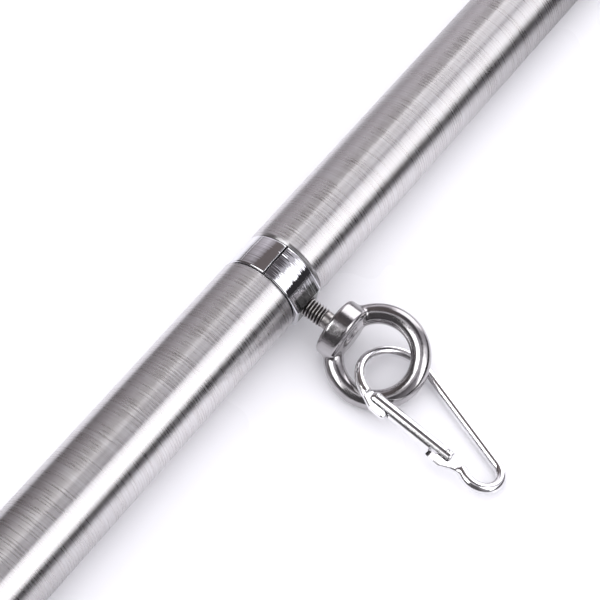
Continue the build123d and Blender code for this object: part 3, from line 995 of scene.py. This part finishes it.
def make_snap_hook(station, nickel, spring_steel):
    place = gate_place(station)
    make_hook_body(station, place, nickel)
    seed = frame["nodes"][f"{station}_hook_gate"].data.copy()
    gate = field_piece(f"{station}_gate_bar", "gate", place, gate_field, seed, GATE_VOXEL)
    finish_piece(gate, nickel, f"{station}_gate", "hook_nickel", f"{station}_hook_gate")
    make_pin(station, "hinge_rivet", place, 0, RIVET_RADIUS, GATE_RADIUS + RIVET_PROUD, nickel)
    make_pin(station, "catch_pin", place, CATCH_X, CATCH_RADIUS, GATE_RADIUS, nickel)
    for node in ("gate_plunger", "gate_spring"):
        wear(frame["nodes"][f"{station}_{node}"], spring_steel)


# ------------------------------------------------------------------ camera, table and light
CAMERA_AZIMUTH = -53.0
CAMERA_ELEVATION = 58.0
CAMERA_DISTANCE = 0.579
CAMERA_FOCAL = 122.2
CAMERA_SENSOR = 36
CAMERA_NEAREST = 0.01
AIM = Vector((-0.0005, -0.0105, 0.0))
TABLE_Z = -BAR_RADIUS * MM
TABLE_HALF = 6.0


def direction(azimuth, elevation):
    """Unit vector from the object, azimuth 0 on the -Y side and 90 on the +X side."""
    a, e = math.radians(azimuth), math.radians(elevation)
    return Vector((math.sin(a) * math.cos(e), -math.cos(a) * math.cos(e), math.sin(e)))


def aimed(location, target):
    return (target - location).to_track_quat("-Z", "Y").to_euler()


def make_camera():
    data = bpy.data.cameras.new("camera")
    data.lens = CAMERA_FOCAL
    data.sensor_width = CAMERA_SENSOR
    data.clip_start = CAMERA_NEAREST
    camera = bpy.data.objects.new("camera", data)
    bpy.context.scene.collection.objects.link(camera)
    camera.location = AIM + direction(CAMERA_AZIMUTH, CAMERA_ELEVATION) * CAMERA_DISTANCE
    camera.rotation_euler = aimed(camera.location, AIM)
    bpy.context.scene.camera = camera


def make_table():
    signs = ((-1, -1), (1, -1), (1, 1), (-1, 1))
    corners = [(x * TABLE_HALF, y * TABLE_HALF, TABLE_Z) for x, y in signs]
    table = add_object("studio_table", corners, [(0, 1, 2, 3)])
    wear(table, floor_material())


# What the metal mirrors besides the table, over the dark room. Each panel has its span in azimuth,
# how its lower and upper edges are measured, each edge as a height at azimuth 0 and its rise per
# degree, half the width of its soft edges, and its radiance. The panels in front run along the bar,
# so their edges are measured as turns round its axis, and those of the others as elevations. Angles
# are in degrees, and later panels cover earlier ones.
STUDIO_PANELS = (
    ((15, 168), "elevation", (58, 0), (100, 0), 4, (0.10, 0.09, 0.10)),      # dark ceiling behind
    ((114, 170), "elevation", (41, 0), (100, 0), 3, (0.17, 0.145, 0.145)),   # dark wall high behind
    ((140, 155), "elevation", (0, 0), (34, 0), 8, (0.66, 0.615, 0.67)),      # pale wall, dim end
    ((105, 144), "elevation", (0, 0), (28, 0), 6, (1.15, 1.1, 1.18)),        # pale wall, lit part
    ((-112, 72), "turn", (-100, 0), (19, 0.1), 1.5, (0.03, 0.028, 0.032)),   # dark front of the room
    ((-120, -20), "elevation", (69, 0), (84, 0), 3, (0.70, 0.68, 0.72)),     # bounce over the camera
    ((75, 112), "elevation", (5, 0), (53, 0), 2, (2.5, 2.47, 2.55)),         # right softbox
    ((25, 46), "turn", (13, 0.42), (88, -0.7), 3, (1.5, 1.49, 1.55)),        # front softbox, dim side
    ((-6, 27), "turn", (13, 0.42), (68, -0.2), 2, (3.3, 3.3, 3.35)),         # front softbox
    ((-157, -104), "elevation", (33, 0), (72, 0), 2, (3.6, 3.6, 3.65)),      # left softbox, largest
)
# The room behind the panels, as radiance at azimuths in degrees
ROOM_BY_AZIMUTH = (
    (-180, (0.10, 0.085, 0.085)), (-160, (0.10, 0.085, 0.085)), (-98, (0.09, 0.085, 0.09)),
    (-55, (0.08, 0.075, 0.08)), (-38, (0.18, 0.17, 0.18)), (-20, (0.38, 0.365, 0.40)),
    (50, (0.62, 0.60, 0.65)), (118, (0.44, 0.42, 0.46)), (140, (0.40, 0.37, 0.40)),
    (158, (0.12, 0.105, 0.105)), (180, (0.10, 0.085, 0.085)))
TABLE_LIGHT = (1.5, 1.5, 1.56, 1)


def make_light():
    """Soft even light on the table, and a studio of softboxes in a dark room for reflections."""
    world = bpy.data.worlds.new("studio")
    bpy.context.scene.world = world
    n = Nodes(world, "Background")
    parts = n.add("ShaderNodeSeparateXYZ")
    n.link(n.add("ShaderNodeTexCoord").outputs["Generated"], parts.inputs["Vector"])
    front = n.math("MULTIPLY", parts.outputs["Y"], -1.0)
    azimuth = n.math("MULTIPLY", n.math("ARCTAN2", parts.outputs["X"], front), math.degrees(1))
    elevation = n.math("MULTIPLY", n.math("ARCSINE", parts.outputs["Z"], 0.0), math.degrees(1))
    turn = n.math("MULTIPLY", n.math("ARCTAN2", parts.outputs["Z"], front), math.degrees(1))
    heights = {"elevation": elevation, "turn": turn}
    around = n.spread(azimuth, -180, 180, 0, 1)
    mirrored = n.ramp(around, [((at + 180) / 360, colour) for at, colour in ROOM_BY_AZIMUTH])
    for (left, right), measure, (low, low_rise), (high, high_rise), soft, radiance in STUDIO_PANELS:
        height = heights[measure]
        across = n.math("MULTIPLY", n.spread(azimuth, left - soft, left + soft, 0, 1),
                        n.spread(azimuth, right - soft, right + soft, 1, 0))
        above_low = n.math("SUBTRACT", height, n.math("MULTIPLY", azimuth, low_rise))
        above_high = n.math("SUBTRACT", height, n.math("MULTIPLY", azimuth, high_rise))
        upward = n.math("MULTIPLY", n.spread(above_low, low - soft, low + soft, 0, 1),
                        n.spread(above_high, high - soft, high + soft, 1, 0))
        mirrored = n.mix(n.math("MULTIPLY", across, upward), mirrored, (*radiance, 1))
    glossy = n.add("ShaderNodeLightPath").outputs["Is Glossy Ray"]
    n.feed(n.mix(glossy, TABLE_LIGHT, mirrored), "Color")


def main():
    brushed = brushed_tube_material()
    chrome = chrome_material()
    polished = eye_material()
    nickel = nickel_material()
    turned = turned_material("inner_turned_steel", (0.42, 0.41, 0.41), (0.60, 0.59, 0.59))
    threaded = stud_material()
    spring_steel = turned_material("spring_steel", (0.34, 0.34, 0.35), (0.50, 0.50, 0.51))
    for side, facing in (("left", -1), ("right", 1)):
        make_tube(side, brushed)
        make_end_cap(side, facing, brushed)
        for end in ("inner", "outer"):
            wear(frame["nodes"][f"{side}_{end}_insert"], turned)
    for station in STATIONS:
        wear(frame["nodes"][f"{station}_spool"], turned)
        make_collar(station, chrome)
        make_eye_bolt(station, polished, threaded)
        make_snap_hook(station, nickel, spring_steel)
    make_table()
    make_light()
    make_camera()
    bpy.context.scene.view_settings.view_transform = "Standard"


main()
